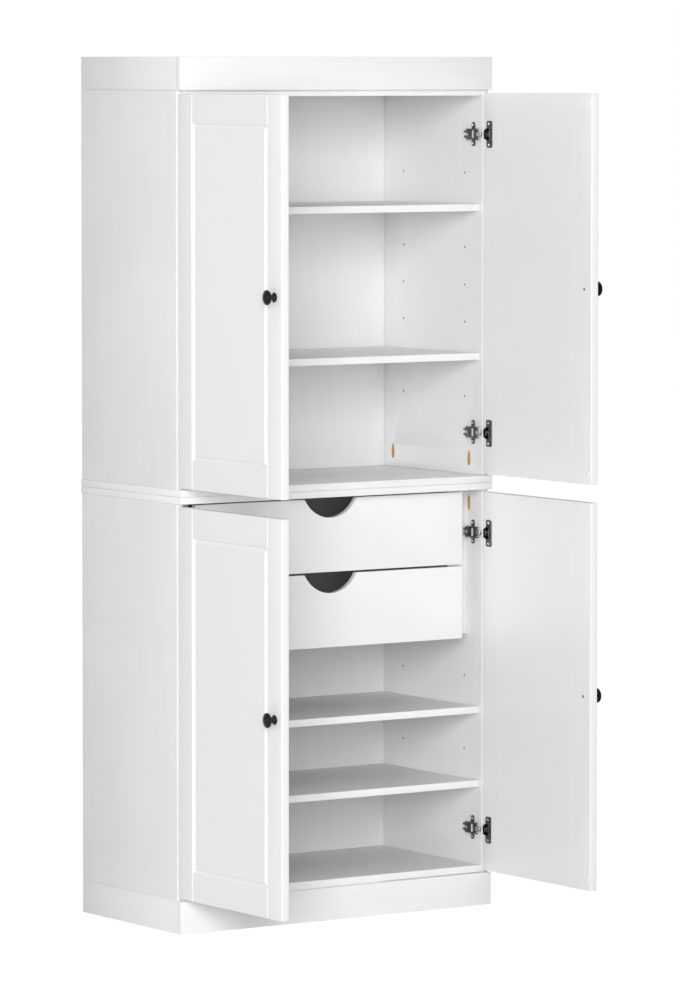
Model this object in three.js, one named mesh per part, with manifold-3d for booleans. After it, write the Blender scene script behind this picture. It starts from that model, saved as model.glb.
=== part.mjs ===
// Free-standing pantry cabinet: two stacked board cases, four hinged doors, two drawers, four shelves.
// Millimetres. X runs to the right, Y to the back, Z up. The origin is the middle of the underside of
// the plinth's front board, on the floor. The doors stand open at a right angle, the drawers are shut.

import * as THREE from 'three';
import { mergeVertices } from 'three/addons/utils/BufferGeometryUtils.js';
import Module from 'manifold-3d';

const wasm = await Module();
wasm.setup();

// ---------------------------------------------------------------- driving dimensions

const GAP = 0.3; // clearance between pieces that touch
const BOARD = 15; // thickness of every case board

const CASE_WIDTH = 798; // over the outer faces of the side panels
const CASE_FRONT = 7.5; // front edges of the side panels
const CASE_BACK = 387.5; // back edges of the side panels
const RAIL_WIDTH = 800; // the two boards at the joint between the cases
const RAIL_FRONT = -10;
const RAIL_BACK = 390;
const FASCIA_FRONT = -7.5; // front faces of the plinth and the crown

const PLINTH_TOP = 70;
const JOINT_HEIGHT = 920; // the upper case stands on the lower case here
const TOP_BOARD_BOTTOM = 1757;
const CROWN_BOTTOM = 1770;
const TOTAL_HEIGHT = 1840;

const BACK_PANEL = [383, 386]; // Y of the thin back panels
const SHELF_FRONT = 17.5;
const SHELF_TOPS = { upper: [1200, 1522.5], lower: [269.5, 431] };
const SHELF_SIDE_GAP = 1;

const DOOR_WIDTH = 392;
const DOOR_HEIGHT = 824;
const DOOR_THICKNESS = 18;
const DOOR_BOTTOMS = { upper: 938.5, lower: 75.5 };
const DOOR_STILE = 53;
const DOOR_RAIL = 61;
const DOOR_GROOVE_DEPTH = 5; // the groove that parts the frame from the raised field
const DOOR_GROOVE_WALL = 3.4; // run of the groove's wall from the frame's edge
const DOOR_FIELD_START = 10.5; // from the frame's edge to the top of the field's slope
const DOOR_FIELD_DROP = 0.3; // how far the field lies below the frame
const PIVOT_X = 391; // distance of a hinge axis from the middle of the cabinet
const PIVOT_Y = -4;
const PIVOT_TO_DOOR_EDGE = 3.5;
const PIVOT_TO_DOOR_OUTER_FACE = 8.5;

const HINGE_FROM_DOOR_END = 89;
const CUP_RADIUS = 13.5;
const CUP_DEPTH = 11.5;
const CUP_FROM_DOOR_EDGE = 15.5;
const CUP_TO_FLANGE = 7; // the flange's middle lies this much further from the door's edge
const FLANGE_HEIGHT = 58;
const FLANGE_WIDTH = 20;
const FLANGE_THICKNESS = 1.5;
const HINGE_PLATE_HEIGHT = 52;
const HINGE_ARM_HEIGHT = 24;
const HINGE_TAIL_HEIGHT = 16;

const KNOB_FROM_DOOR_EDGE = 26.5;
const KNOB_HOLE_RADIUS = 2.5;

const DRAWER_FRONT_WIDTH = 686;
const DRAWER_BOX_WIDTH = 643;
const DRAWER_FRONT_Y = 22.5;
const DRAWER_DEPTH = 350;
const DRAWER_FRONT_HEIGHT = 157;
const DRAWER_FRONT_BOTTOMS = { upper: 742.5, lower: 581 };
const DRAWER_SIDE = 12;
const DRAWER_SIDE_HEIGHT = 118;
const DRAWER_SIDE_LIFT = 12; // the box sides start this far above the front's lower edge
const DRAWER_BOTTOM = 4;
const DRAWER_BOTTOM_LIFT = 20;
const FINGER_CHORD = 134;
const FINGER_DEPTH = 41;

const SPACER_WIDTH = 50; // packs the slides inwards, past the door hinges
const SPACER_FRONT = 65.5;
const SPACER_BOTTOM = 586;
const SLIDE_HEIGHT = 18;
const SLIDE_WIDTH = 10.2;
const SLIDE_WALL = 1.2;
const SLIDE_LENGTH = 312;

// ---------------------------------------------------------------- finishes

const finish = (color, roughness, metalness) => new THREE.MeshStandardMaterial({ color, roughness, metalness });
const WHITE_BOARD = finish(0xf1f1ef, 0.45, 0);
const WHITE_DOOR = finish(0xf4f4f2, 0.4, 0);
const BACKING = finish(0xe9e9e6, 0.55, 0);
const NICKEL = finish(0x8d8c8a, 0.3, 1);
const SLIDE_STEEL = finish(0xe6e6e4, 0.4, 0.2);
const DARK_METAL = finish(0x1d1b1a, 0.35, 0.6);

// ---------------------------------------------------------------- helpers

const cabinet = new THREE.Group();

function addMesh(parent, name, geometry, material, x = 0, y = 0, z = 0) {
  const mesh = new THREE.Mesh(geometry, material);
  mesh.name = name;
  mesh.position.set(x, y, z);
  parent.add(mesh);
  return mesh;
}

const middle = ([low, high]) => (low + high) / 2;
const length = ([low, high]) => high - low;

// A rectangular board from its extents along X, Y and Z.
function addBoard(parent, name, x, y, z, material = WHITE_BOARD) {
  const geometry = new THREE.BoxGeometry(length(x), length(y), length(z));
  return addMesh(parent, name, geometry, material, middle(x), middle(y), middle(z));
}

// The same extents on the left (side -1) or the right (side 1), measured outwards from the middle.
const onSide = (side, near, far) => (side < 0 ? [-far, -near] : [near, far]);

function solidOf(geometry) {
  const bare = geometry.clone();
  bare.deleteAttribute('normal');
  bare.deleteAttribute('uv');
  const merged = mergeVertices(bare, 1e-4);
  return new wasm.Manifold(new wasm.Mesh({
    numProp: 3,
    vertProperties: new Float32Array(merged.attributes.position.array),
    triVerts: new Uint32Array(merged.index.array),
  }));
}

function geometryOf(solid) {
  const mesh = solid.getMesh();
  const geometry = new THREE.BufferGeometry();
  geometry.setAttribute('position', new THREE.BufferAttribute(mesh.vertProperties, 3));
  geometry.setIndex(new THREE.BufferAttribute(mesh.triVerts, 1));
  geometry.computeVertexNormals();
  return geometry;
}

function block(x, y, z) {
  return new THREE.BoxGeometry(length(x), length(y), length(z)).translate(middle(x), middle(y), middle(z));
}

// A round bar along Y from y[0] to y[1], centred on x and z.
function rod(radius, x, y, z, sides = 32) {
  return new THREE.CylinderGeometry(radius, radius, length(y), sides).translate(x, middle(y), z);
}

const joined = (...geometries) => geometries.map(solidOf).reduce((sum, solid) => sum.add(solid));
const cut = (solid, ...geometries) => geometries.map(solidOf).reduce((rest, tool) => rest.subtract(tool), solid);

// ---------------------------------------------------------------- cases

const innerHalf = CASE_WIDTH / 2 - BOARD; // from the middle to a side panel's inner face
const between = [-innerHalf + GAP, innerHalf - GAP];
const fasciaBack = CASE_FRONT - GAP;
const SIDES = [['left', -1], ['right', 1]];

function addSidePanels(level, z) {
  for (const [word, side] of SIDES) {
    const x = onSide(side, innerHalf, CASE_WIDTH / 2);
    addBoard(cabinet, `${level}_side_${word}`, x, [CASE_FRONT, CASE_BACK], z);
  }
}

// A front board with a return along each side, standing flush with the side panels.
function addSkirt(name, z) {
  const half = CASE_WIDTH / 2;
  addBoard(cabinet, `${name}_front`, [-half, half], [FASCIA_FRONT, fasciaBack], z);
  for (const [word, side] of SIDES) {
    addBoard(cabinet, `${name}_${word}`, onSide(side, innerHalf, half), [CASE_FRONT, CASE_BACK], z);
  }
}

function addLowerCase() {
  const floorTop = PLINTH_TOP + BOARD;
  const topBottom = JOINT_HEIGHT - BOARD;
  addSkirt('plinth', [0, PLINTH_TOP - GAP]);
  addSidePanels('lower', [PLINTH_TOP, topBottom - GAP]);
  addBoard(cabinet, 'lower_bottom_board', between, [CASE_FRONT, CASE_BACK], [PLINTH_TOP, floorTop]);
  addBoard(cabinet, 'lower_top_board', [-RAIL_WIDTH / 2, RAIL_WIDTH / 2], [RAIL_FRONT, RAIL_BACK],
    [topBottom, JOINT_HEIGHT - GAP]);
  addBoard(cabinet, 'lower_back_panel', between, BACK_PANEL, [floorTop + GAP, topBottom - GAP], BACKING);
}

function addUpperCase() {
  const floorTop = JOINT_HEIGHT + BOARD;
  addBoard(cabinet, 'upper_bottom_board', [-RAIL_WIDTH / 2, RAIL_WIDTH / 2], [RAIL_FRONT, RAIL_BACK],
    [JOINT_HEIGHT, floorTop]);
  addSidePanels('upper', [floorTop + GAP, CROWN_BOTTOM - GAP]);
  addBoard(cabinet, 'upper_top_board', between, [CASE_FRONT, CASE_BACK],
    [TOP_BOARD_BOTTOM, TOP_BOARD_BOTTOM + BOARD]);
  addBoard(cabinet, 'upper_back_panel', between, BACK_PANEL, [floorTop + GAP, TOP_BOARD_BOTTOM - GAP], BACKING);
  addSkirt('crown', [CROWN_BOTTOM, TOTAL_HEIGHT]);
}

function addShelves() {
  const x = [-innerHalf + SHELF_SIDE_GAP, innerHalf - SHELF_SIDE_GAP];
  const y = [SHELF_FRONT, BACK_PANEL[0] - SHELF_SIDE_GAP];
  for (const [level, tops] of Object.entries(SHELF_TOPS)) {
    tops.forEach((top, i) => addBoard(cabinet, `${level}_shelf_${i + 1}`, x, y, [top - BOARD, top]));
  }
}

// ---------------------------------------------------------------- doors

const doorFaces = [-PIVOT_TO_DOOR_OUTER_FACE, DOOR_THICKNESS - PIVOT_TO_DOOR_OUTER_FACE];
const hingeHeights = [HINGE_FROM_DOOR_END, DOOR_HEIGHT - HINGE_FROM_DOOR_END];
const knobX = DOOR_WIDTH - PIVOT_TO_DOOR_EDGE - KNOB_FROM_DOOR_EDGE;
const cupX = CUP_FROM_DOOR_EDGE - PIVOT_TO_DOOR_EDGE;

// A block along Y whose two ends are drawn in all round, by `nearInset` at -Y and `farInset` at +Y.
function taperedBlock(x, y, z, nearInset, farInset) {
  const geometry = new THREE.BoxGeometry(length(x), length(y), length(z));
  const place = geometry.attributes.position;
  for (let i = 0; i < place.count; i += 1) {
    const inset = place.getY(i) > 0 ? farInset : nearInset;
    place.setX(i, place.getX(i) - Math.sign(place.getX(i)) * inset);
    place.setZ(i, place.getZ(i) - Math.sign(place.getZ(i)) * inset);
  }
  return geometry.translate(middle(x), middle(y), middle(z));
}

// A door lies in its own frame: the hinge axis is the Z axis, the outer face looks along -Y, and the
// door runs along +X (dir 1) or -X (dir -1) when it is shut.
const along = (dir, low, high) => (dir > 0 ? [low, high] : [-high, -low]);

function doorGeometry(dir) {
  const x = [-PIVOT_TO_DOOR_EDGE, DOOR_WIDTH - PIVOT_TO_DOOR_EDGE];
  const slab = solidOf(block(along(dir, ...x), doorFaces, [0, DOOR_HEIGHT]));
  const panelX = along(dir, x[0] + DOOR_STILE, x[1] - DOOR_STILE);
  const panelZ = [DOOR_RAIL, DOOR_HEIGHT - DOOR_RAIL];
  const grooveFloor = doorFaces[0] + DOOR_GROOVE_DEPTH;
  const recess = taperedBlock(panelX, [doorFaces[0] - DOOR_GROOVE_DEPTH, grooveFloor], panelZ,
    -DOOR_GROOVE_WALL, DOOR_GROOVE_WALL);
  const field = taperedBlock(panelX, [doorFaces[0] + DOOR_FIELD_DROP, grooveFloor + 1], panelZ,
    DOOR_FIELD_START, DOOR_GROOVE_WALL);
  const cupHoles = hingeHeights.map((z) => rod(CUP_RADIUS + GAP, dir * cupX,
    [doorFaces[1] - CUP_DEPTH - GAP, doorFaces[1] + 1], z));
  const knobHole = rod(KNOB_HOLE_RADIUS, dir * knobX, [doorFaces[0] - 1, doorFaces[1] + 1], DOOR_HEIGHT / 2, 16);
  const panelled = cut(slab, recess).add(solidOf(field));
  return geometryOf(cut(panelled, ...cupHoles, knobHole));
}

// The door half of a concealed hinge: a hollow cup let into the door, its flange, and the link knuckle.
function cupGeometry(dir) {
  const face = doorFaces[1] + GAP;
  const top = face + FLANGE_THICKNESS;
  const half = FLANGE_HEIGHT / 2;
  const flange = along(dir, CUP_TO_FLANGE - FLANGE_WIDTH / 2, CUP_TO_FLANGE + FLANGE_WIDTH / 2);
  const ears = [flange[0] + 4, flange[1] - 4];
  const body = joined(
    rod(CUP_RADIUS, 0, [doorFaces[1] - CUP_DEPTH, top], 0),
    block(flange, [face, top], [-half + 5, half - 5]),
    block(ears, [face, top], [-half, half]),
  );
  const hollow = cut(body, rod(CUP_RADIUS - 1.5, 0, [doorFaces[1] - CUP_DEPTH + 1.5, top + 1], 0));
  const knuckle = block(along(dir, -4.4, 3), [doorFaces[1] - CUP_DEPTH + 1, doorFaces[1] + 2.8], [-6, 6]);
  const link = block(along(dir, -4.4, -0.5), [face, doorFaces[1] + 7.5], [-6, 6]);
  return geometryOf(hollow.add(solidOf(knuckle)).add(solidOf(link)));
}

// The case half of the hinge: a winged plate on the side panel carrying the arm. X = 0 is the panel's
// inner face, the arm stands off along `dir`, and Y is measured from the hinge axis.
function armGeometry(dir) {
  const half = HINGE_PLATE_HEIGHT / 2;
  const upright = (height) => [-height / 2, height / 2];
  const wing = block(along(dir, GAP, 2.8), [37, 49], upright(HINGE_PLATE_HEIGHT));
  const foot = block(along(dir, GAP, 5.3), [28, 66], upright(18));
  const arm = block(along(dir, 4.3, 12.3), [18, 57], upright(HINGE_ARM_HEIGHT));
  const tail = block(along(dir, 4.3, 10.3), [56, 68], upright(HINGE_TAIL_HEIGHT));
  const screwHeads = [-half + 7, half - 7].map((z) => new THREE.CylinderGeometry(3.6, 3.6, 2.2, 20)
    .rotateZ(Math.PI / 2).translate(dir * 3.6, 43, z));
  return geometryOf(joined(wing, foot, arm, tail, ...screwHeads));
}

// Mushroom knob, turned about Z with its foot at 0, then laid along -Y.
function knobGeometry() {
  const half = [
    [0, 0], [10, 0], [10, 1.6], [7.6, 3.4], [6, 6], [5.8, 9.5], [7.2, 13], [11, 15.4],
    [14.6, 16.6], [15.5, 18], [15, 19.6], [12, 21.8], [7, 23.3], [0, 24],
  ].map(([r, h]) => new THREE.Vector2(r, h));
  return new THREE.LatheGeometry(half, 32).rotateX(Math.PI);
}

function addDoor(level, word, side) {
  const dir = -side;
  const name = `${level}_door_${word}`;
  const door = new THREE.Group();
  door.position.set(side * PIVOT_X, PIVOT_Y, DOOR_BOTTOMS[level]);
  door.rotation.z = side * Math.PI / 2;
  cabinet.add(door);
  addMesh(door, name, doorGeometry(dir), WHITE_DOOR);
  addMesh(door, `${name}_knob`, knobGeometry(), DARK_METAL, dir * knobX, doorFaces[0] - GAP, DOOR_HEIGHT / 2);
  for (const [i, place] of ['bottom', 'top'].entries()) {
    const z = hingeHeights[i];
    addMesh(door, `${name}_hinge_cup_${place}`, cupGeometry(dir), NICKEL, dir * cupX, 0, z);
    addMesh(cabinet, `${name}_hinge_arm_${place}`, armGeometry(dir), NICKEL,
      side * innerHalf, PIVOT_Y, DOOR_BOTTOMS[level] + z);
  }
}

// ---------------------------------------------------------------- drawers

// The front, with a shallow arc cut out of its upper edge for the fingers.
function drawerFrontGeometry() {
  const half = DRAWER_FRONT_WIDTH / 2;
  const chord = FINGER_CHORD / 2;
  const radius = (chord ** 2 + FINGER_DEPTH ** 2) / (2 * FINGER_DEPTH);
  const centre = DRAWER_FRONT_HEIGHT - FINGER_DEPTH + radius;
  const start = Math.asin((DRAWER_FRONT_HEIGHT - centre) / radius);
  const outline = new THREE.Shape();
  outline.moveTo(-half, 0);
  outline.lineTo(half, 0);
  outline.lineTo(half, DRAWER_FRONT_HEIGHT);
  outline.lineTo(chord, DRAWER_FRONT_HEIGHT);
  outline.absarc(0, centre, radius, start, Math.PI - start, true);
  outline.lineTo(-half, DRAWER_FRONT_HEIGHT);
  const slab = new THREE.ExtrudeGeometry(outline, { depth: BOARD, bevelEnabled: false, curveSegments: 24 });
  return slab.rotateX(Math.PI / 2).translate(0, BOARD, 0);
}

function addDrawer(level) {
  const name = `${level}_drawer`;
  const bottom = DRAWER_FRONT_BOTTOMS[level];
  const half = DRAWER_BOX_WIDTH / 2;
  const boxFront = DRAWER_FRONT_Y + BOARD + GAP;
  const boxBack = DRAWER_FRONT_Y + DRAWER_DEPTH;
  const inner = [-half + DRAWER_SIDE + GAP, half - DRAWER_SIDE - GAP];
  const z = [bottom + DRAWER_SIDE_LIFT, bottom + DRAWER_SIDE_LIFT + DRAWER_SIDE_HEIGHT];
  const floor = [bottom + DRAWER_BOTTOM_LIFT, bottom + DRAWER_BOTTOM_LIFT + DRAWER_BOTTOM];
  addMesh(cabinet, `${name}_front`, drawerFrontGeometry(), WHITE_BOARD, 0, DRAWER_FRONT_Y, bottom);
  for (const [word, side] of SIDES) {
    addBoard(cabinet, `${name}_side_${word}`, onSide(side, half - DRAWER_SIDE, half), [boxFront, boxBack], z);
    addSlide(name, word, side, bottom + DRAWER_SIDE_LIFT);
  }
  addBoard(cabinet, `${name}_back`, inner, [boxBack - DRAWER_SIDE, boxBack], z);
  addBoard(cabinet, `${name}_bottom`, inner, [boxFront, boxBack - DRAWER_SIDE - GAP], floor, BACKING);
}

// The fixed channel that carries a drawer's side, open towards the drawer.
function addSlide(drawer, word, side, z) {
  const outer = innerHalf - SPACER_WIDTH - GAP - GAP;
  const y = [SPACER_FRONT, SPACER_FRONT + SLIDE_LENGTH];
  const channel = solidOf(block(onSide(side, outer - SLIDE_WIDTH, outer), y, [0, SLIDE_HEIGHT]));
  const mouth = block(onSide(side, outer - SLIDE_WIDTH - 1, outer - SLIDE_WALL), [y[0] - 1, y[1] + 1],
    [SLIDE_WALL, SLIDE_HEIGHT - SLIDE_WALL]);
  addMesh(cabinet, `${drawer}_slide_${word}`, geometryOf(cut(channel, mouth)), SLIDE_STEEL, 0, 0, z);
}

function addSpacers() {
  for (const [word, side] of SIDES) {
    const x = onSide(side, innerHalf - GAP - SPACER_WIDTH, innerHalf - GAP);
    const y = [SPACER_FRONT, BACK_PANEL[0] - GAP];
    addBoard(cabinet, `drawer_spacer_${word}`, x, y, [SPACER_BOTTOM, JOINT_HEIGHT - BOARD - GAP]);
  }
}

// ---------------------------------------------------------------- the whole cabinet

addLowerCase();
addUpperCase();
addShelves();
addSpacers();
for (const level of ['upper', 'lower']) {
  for (const [word, side] of SIDES) {
    addDoor(level, word, side);
  }
  addDrawer(level);
}

export default cabinet;
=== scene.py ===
"""The finished look of a free-standing pantry cabinet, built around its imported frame.

Metres, X to the right, Y to the back, Z up. The doors stand open at a right angle and the drawers are shut.
Boards, doors and drawers take their places from the frame's own nodes.
"""

import math

import bmesh
import bpy
from mathutils import Matrix, Vector


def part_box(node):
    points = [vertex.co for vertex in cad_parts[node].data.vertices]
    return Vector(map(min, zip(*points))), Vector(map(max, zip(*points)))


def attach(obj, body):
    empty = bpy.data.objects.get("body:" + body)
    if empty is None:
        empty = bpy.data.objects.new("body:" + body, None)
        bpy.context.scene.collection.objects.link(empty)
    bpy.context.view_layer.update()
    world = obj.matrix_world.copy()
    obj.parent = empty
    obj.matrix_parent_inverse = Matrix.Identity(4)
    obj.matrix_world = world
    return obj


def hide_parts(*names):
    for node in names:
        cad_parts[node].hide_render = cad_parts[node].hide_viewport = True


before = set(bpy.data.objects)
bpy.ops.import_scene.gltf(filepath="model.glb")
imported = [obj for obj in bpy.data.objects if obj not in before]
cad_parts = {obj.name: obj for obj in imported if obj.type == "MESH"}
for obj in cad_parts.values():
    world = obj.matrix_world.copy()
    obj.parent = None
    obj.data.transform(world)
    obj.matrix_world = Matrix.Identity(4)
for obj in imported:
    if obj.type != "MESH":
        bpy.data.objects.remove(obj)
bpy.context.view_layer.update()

MM = 0.001
SIDES = (("left", -1), ("right", 1))
LEVELS = ("upper", "lower")
PANEL_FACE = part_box("upper_side_right")[0].x  # inner face of a side panel, from the middle


# ---------------------------------------------------------------- tools of the bench


def pick_up(*pieces):
    """Leaves only these pieces selected, the first one active."""
    bpy.ops.object.select_all(action="DESELECT")
    for piece in pieces:
        piece.select_set(True)
    bpy.context.view_layer.objects.active = pieces[0]


def name_piece(piece, name):
    piece.name = name
    piece.data.name = name
    return piece


def settle(piece):
    """Puts the piece's place into its mesh, with its object at the origin."""
    pick_up(piece)
    bpy.ops.object.transform_apply(location=True, rotation=True, scale=True)
    return piece


def block(name, low, high):
    """A rectangular blank between two corners."""
    low, high = Vector(low), Vector(high)
    bpy.ops.object.select_all(action="DESELECT")
    bpy.ops.mesh.primitive_cube_add(size=1, location=(low + high) / 2, scale=high - low)
    return settle(name_piece(bpy.context.object, name))


def drum(name, radius, middle, length, along="Z", sides=32):
    """A round blank centred on a point, lying along one axis."""
    turn = {"X": (0, math.pi / 2, 0), "Y": (math.pi / 2, 0, 0), "Z": (0, 0, 0)}[along]
    bpy.ops.object.select_all(action="DESELECT")
    bpy.ops.mesh.primitive_cylinder_add(
        vertices=sides, radius=radius, depth=length, location=middle, rotation=turn
    )
    return settle(name_piece(bpy.context.object, name))


def edit(piece):
    pick_up(piece)
    bpy.ops.object.mode_set(mode="EDIT")
    bpy.ops.mesh.select_all(action="DESELECT")


def done():
    bpy.ops.object.mode_set(mode="OBJECT")


def pick_faces(test):
    """Selects the faces whose middle and normal pass the test."""
    bpy.ops.mesh.select_mode(type="FACE")
    bpy.ops.mesh.select_all(action="DESELECT")
    mesh = bpy.context.edit_object.data
    shape = bmesh.from_edit_mesh(mesh)
    for face in shape.faces:
        face.select_set(bool(test(face.calc_center_median(), face.normal)))
    bmesh.update_edit_mesh(mesh)


def pick_edges(test):
    """Selects the edges whose middle and direction pass the test."""
    bpy.ops.mesh.select_mode(type="EDGE")
    bpy.ops.mesh.select_all(action="DESELECT")
    mesh = bpy.context.edit_object.data
    shape = bmesh.from_edit_mesh(mesh)
    for edge in shape.edges:
        a, b = (v.co for v in edge.verts)
        edge.select_set(bool(test((a + b) / 2, (b - a).normalized())))
    bmesh.update_edit_mesh(mesh)


def round_corners(piece, along, radius, segments=4):
    """Rounds a blank's four edges that run along one axis."""
    edit(piece)
    pick_edges(lambda middle, way: abs(way["XYZ".index(along)]) > 0.99)
    bpy.ops.mesh.bevel(offset=radius, segments=segments, affect="EDGES")
    done()
    return piece


def ease(piece, width, segments=2, angle=35):
    """Breaks the sharp edges of a piece."""
    pick_up(piece)
    modifier = piece.modifiers.new("eased edges", "BEVEL")
    modifier.width = width
    modifier.segments = segments
    modifier.limit_method = "ANGLE"
    modifier.angle_limit = math.radians(angle)
    modifier.use_clamp_overlap = True
    bpy.ops.object.modifier_apply(modifier=modifier.name)
    return piece


def work(piece, tools, operation):
    """Cuts the tools out of a piece, or welds them to it, and uses them up."""
    for tool in tools:
        pick_up(piece)
        modifier = piece.modifiers.new("worked", "BOOLEAN")
        modifier.operation = operation
        modifier.solver = "EXACT"
        modifier.material_mode = "TRANSFER"
        modifier.object = tool
        bpy.ops.object.modifier_apply(modifier=modifier.name)
        bpy.data.objects.remove(tool)
    return piece


def carve(piece, *tools):
    return work(piece, tools, "DIFFERENCE")


def weld(piece, *others):
    return work(piece, others, "UNION")


def together(name, *pieces):
    """Makes several meshes one piece."""
    pick_up(*pieces)
    bpy.ops.object.join()
    return name_piece(bpy.context.object, name)


def copy_of(piece, name):
    other = piece.copy()
    other.data = piece.data.copy()
    bpy.context.scene.collection.objects.link(other)
    return name_piece(other, name)


def placed(piece, matrix):
    """Carries a piece's mesh to its place; a mirrored one has its faces turned out again."""
    piece.data.transform(matrix)
    if matrix.determinant() < 0:
        edit(piece)
        bpy.ops.mesh.select_all(action="SELECT")
        bpy.ops.mesh.flip_normals()
        done()
    return piece


def turned(name, rings, sides=48):
    """A turned piece about Z, drawn up from a filled circle through (radius, height) rings."""
    (radius, height), *rest = rings
    bpy.ops.object.select_all(action="DESELECT")
    bpy.ops.mesh.primitive_circle_add(
        vertices=sides, radius=radius, fill_type="NGON", location=(0, 0, height)
    )
    piece = settle(name_piece(bpy.context.object, name))
    edit(piece)
    bpy.ops.mesh.select_all(action="SELECT")
    for next_radius, next_height in rest:
        bpy.ops.mesh.extrude_region_move(TRANSFORM_OT_translate={"value": (0, 0, next_height - height)})
        bpy.ops.transform.resize(
            value=(next_radius / radius, next_radius / radius, 1), center_override=(0, 0, next_height)
        )
        radius, height = next_radius, next_height
    bpy.ops.mesh.select_all(action="SELECT")
    bpy.ops.mesh.normals_make_consistent(inside=False)
    done()
    return piece


def coat(piece, *materials):
    """Gives the piece its finishes, the first one over all of it."""
    piece.data.materials.clear()
    for material in materials:
        piece.data.materials.append(material)
    return piece


def coat_faces(piece, number, test):
    for face in piece.data.polygons:
        if test(face.center, face.normal):
            face.material_index = number


def hand_over(piece, body, slot, *nodes, smooth=30):
    """Smooths a finished piece, gives it its body and hides the nodes that it stands for; the slot is not
    used.
    """
    pick_up(piece)
    bpy.ops.object.shade_smooth_by_angle(angle=math.radians(smooth))
    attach(piece, body)
    if nodes:
        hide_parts(*nodes)
    return piece


# ---------------------------------------------------------------- camera, light and floor

CAMERA_PLACE = (-6.7436, -10.0193, 1.8150)
CAMERA_HEADING = 33.9731  # degrees from +Y towards +X
CAMERA_DOWN = 3.1344
CAMERA_ROLL = 0.0117
CAMERA_LENS = 204.70
CAMERA_SHIFT = -0.12


def add_camera():
    camera = bpy.data.objects.new("camera", bpy.data.cameras.new("camera"))
    bpy.context.scene.collection.objects.link(camera)
    camera.data.sensor_width = 36
    camera.data.lens = CAMERA_LENS
    camera.data.shift_y = CAMERA_SHIFT
    camera.data.clip_end = 60
    level = Matrix.Rotation(-math.radians(CAMERA_HEADING), 4, "Z") @ Matrix.Rotation(math.pi / 2, 4, "X")
    tilt = Matrix.Rotation(-math.radians(CAMERA_DOWN), 4, "X") @ Matrix.Rotation(
        math.radians(CAMERA_ROLL), 4, "Z"
    )
    camera.matrix_world = Matrix.Translation(CAMERA_PLACE) @ level @ tilt
    bpy.context.scene.camera = camera


def add_soft_light(name, place, aim, size, power):
    light = bpy.data.objects.new(name, bpy.data.lights.new(name, "AREA"))
    bpy.context.scene.collection.objects.link(light)
    light.data.shape = "RECTANGLE"
    light.data.size, light.data.size_y = size
    light.data.energy = power
    light.location = place
    light.rotation_euler = (Vector(aim) - Vector(place)).to_track_quat("-Z", "Y").to_euler()


def add_studio():
    """A white room, a soft light at the left in front, a weak one at the left, and a white floor."""
    world = bpy.data.worlds.new("studio")
    bpy.context.scene.world = world
    world.use_nodes = True
    nodes, links = world.node_tree.nodes, world.node_tree.links
    seen, lit = nodes["Background"], nodes.new("ShaderNodeBackground")
    seen.inputs["Color"].default_value = lit.inputs["Color"].default_value = (1, 1, 1, 1)
    seen.inputs["Strength"].default_value = 1.0
    lit.inputs["Strength"].default_value = ROOM_LIGHT
    path, mix = nodes.new("ShaderNodeLightPath"), nodes.new("ShaderNodeMixShader")
    links.new(path.outputs["Is Camera Ray"], mix.inputs["Fac"])
    links.new(lit.outputs["Background"], mix.inputs[1])
    links.new(seen.outputs["Background"], mix.inputs[2])
    links.new(mix.outputs["Shader"], nodes["World Output"].inputs["Surface"])
    for light in SOFT_LIGHTS:
        add_soft_light(*light)
    bpy.ops.mesh.primitive_plane_add(size=30, location=(0, 0, -0.0004))
    coat(name_piece(bpy.context.object, "floor"), floor_paper)
    bpy.context.scene.view_settings.view_transform = "Standard"


ROOM_LIGHT = 0.36
SOFT_LIGHTS = (  # name, place, aim, size in metres, power in watts
    ("front left light", (-7.45, -10.65, 3.3), (0, 0, 0.95), (5.4, 5.4), 1240.0),
    ("left wall light", (-5.0, 0.6, 1.6), (0, 0, 0.95), (4.0, 3.0), 22.0),
)


# ---------------------------------------------------------------- finishes


def new_group(name, inputs, outputs):
    """A shader node group with named sockets; inputs are (name, kind, value)."""
    group = bpy.data.node_groups.new(name, "ShaderNodeTree")
    for label, kind, value in inputs:
        socket = group.interface.new_socket(name=label, in_out="INPUT", socket_type=kind)
        socket.default_value = value
    for label, kind in outputs:
        group.interface.new_socket(name=label, in_out="OUTPUT", socket_type=kind)
    start, end = group.nodes.new("NodeGroupInput"), group.nodes.new("NodeGroupOutput")
    return group, start.outputs, end.inputs


def add_node(tree, kind, links=(), **settings):
    """A node with its settings; links pairs an input's name or number with the output that feeds it."""
    node = tree.nodes.new(kind)
    for key, value in settings.items():
        setattr(node, key, value)
    for socket, source in dict(links).items():
        if hasattr(source, "is_output"):
            tree.links.new(source, node.inputs[socket])
        else:
            node.inputs[socket].default_value = source
    return node


def blend_value(tree, low, high, mask):
    """low + mask x (high - low) as one node's output."""
    node = add_node(tree, "ShaderNodeMapRange", {"Value": mask, "To Min": low, "To Max": high})
    return node.outputs["Result"]


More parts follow.
